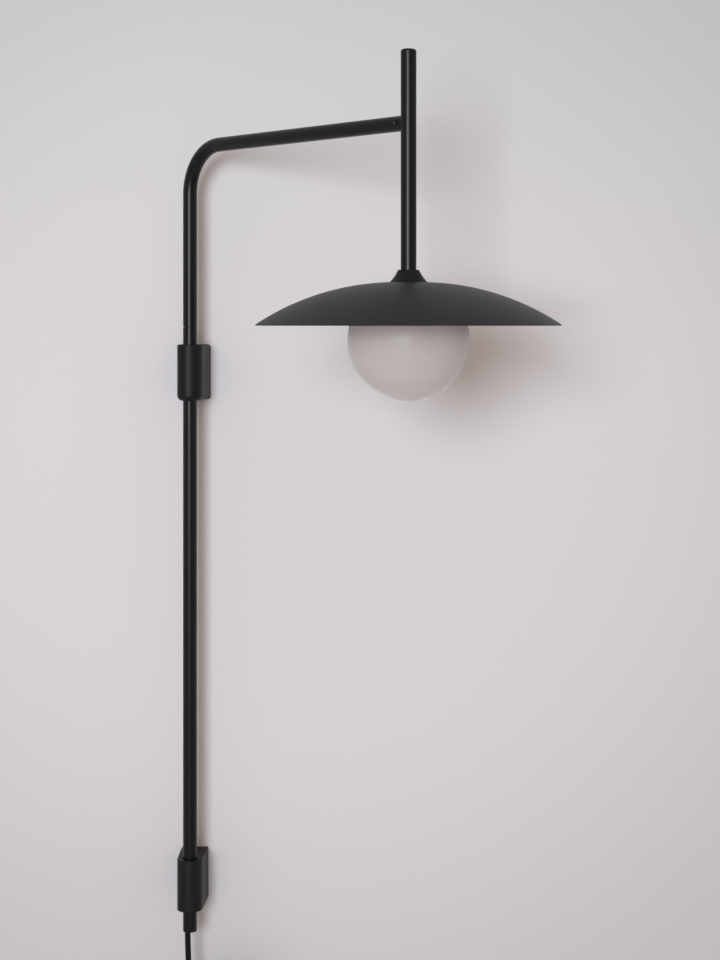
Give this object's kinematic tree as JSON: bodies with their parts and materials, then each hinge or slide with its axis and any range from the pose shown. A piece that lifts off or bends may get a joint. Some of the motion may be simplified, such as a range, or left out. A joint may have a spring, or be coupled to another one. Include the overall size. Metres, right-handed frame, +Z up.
{
  "type": "swing arm wall lamp",
  "caption": "Wall lamp with a pole held off the wall by brackets, a bent arm that swings on the pole, a stem, a shallow dome shade and a satin glass globe, with a plug-in cord.",
  "frame": {"origin": "middle of the upper wall plate's back face, on the wall", "axes": "+Y points into the wall, +Z is up along the pole, +X runs to the right along the wall"},
  "size_m": [0.417, 0.4424, 1.1996],
  "materials": {
    "black_powder_coated_steel": "fine matte powder coat",
    "black_powder_coated_aluminium": "fine matte powder coat",
    "zinc_plated_steel": "bright zinc plate",
    "black_oxide_steel": "black oxide",
    "brass": "turned, uncoated",
    "turned_aluminium": "turned, satin",
    "acetal": "machined acetal",
    "textile_cord": "braided textile over rubber",
    "moulded_black_plastic": "moulded, fine grain",
    "hook_and_loop_strap": "woven strap",
    "silicone_insulation": "smooth silicone",
    "steatite_ceramic": "glazed steatite",
    "satin_glass": "acid-etched satin",
    "clear_glass": "clear lamp glass"
  },
  "bodies": {
    "wall_mount": {"upper_wall_plate": "black_powder_coated_steel", "lower_wall_plate": "black_powder_coated_steel", "upper_bracket": "black_powder_coated_aluminium", "lower_bracket": "black_powder_coated_aluminium", "plate_grub_screws": "black_oxide_steel", "pole_grub_screws": "black_oxide_steel", "pole_tube": "black_powder_coated_steel", "pivot_bush": "brass", "thrust_washer": "acetal", "cord_grip": "acetal", "pole_cable": "textile_cord", "cord_lead": "textile_cord", "cord_coil": "textile_cord", "cord_tail": "textile_cord", "cord_tie": "hook_and_loop_strap", "plug_body": "moulded_black_plastic", "plug_pins": "brass"},
    "swing_arm": {"pivot_spindle": "zinc_plated_steel", "stop_pin": "zinc_plated_steel", "retaining_ring": "zinc_plated_steel", "arm_tube": "black_powder_coated_steel", "arm_cable": "textile_cord", "arm_end_plug": "turned_aluminium", "arm_grub_screw": "black_oxide_steel", "joint_stud": "zinc_plated_steel", "stem_tube": "black_powder_coated_steel", "stem_cap": "black_powder_coated_steel", "stem_barrel_nut": "zinc_plated_steel", "stem_wires": "silicone_insulation", "stem_insert": "turned_aluminium", "shade_cap": "black_powder_coated_aluminium", "shade": "black_powder_coated_aluminium", "shade_nipple": "zinc_plated_steel", "shade_washer": "acetal", "holder_cup": "turned_aluminium", "socket_bracket": "zinc_plated_steel", "nipple_nut": "zinc_plated_steel", "lamp_socket": "steatite_ceramic", "socket_screws": "zinc_plated_steel"},
    "globe": {"glass_globe": "satin_glass", "globe_collar": "turned_aluminium"},
    "bulb": {"bulb_base": "steatite_ceramic", "bulb_pins": "brass", "bulb_capsule": "clear_glass"}
  },
  "joints": [
    {"name": "arm_swing", "type": "hinge", "parent": "wall_mount", "child": "swing_arm", "pos_m": [0, -0.045, 0.051], "axis": [0, 0, 1], "range_deg": [-115, 25]},
    {"name": "globe_release", "type": "slide", "parent": "swing_arm", "child": "globe", "axis": [0, 0, -1], "range_m": [0, 0.09]},
    {"name": "bulb_pull", "type": "slide", "parent": "swing_arm", "child": "bulb", "axis": [0, 0, -1], "range_m": [0, 0.012]}
  ]
}
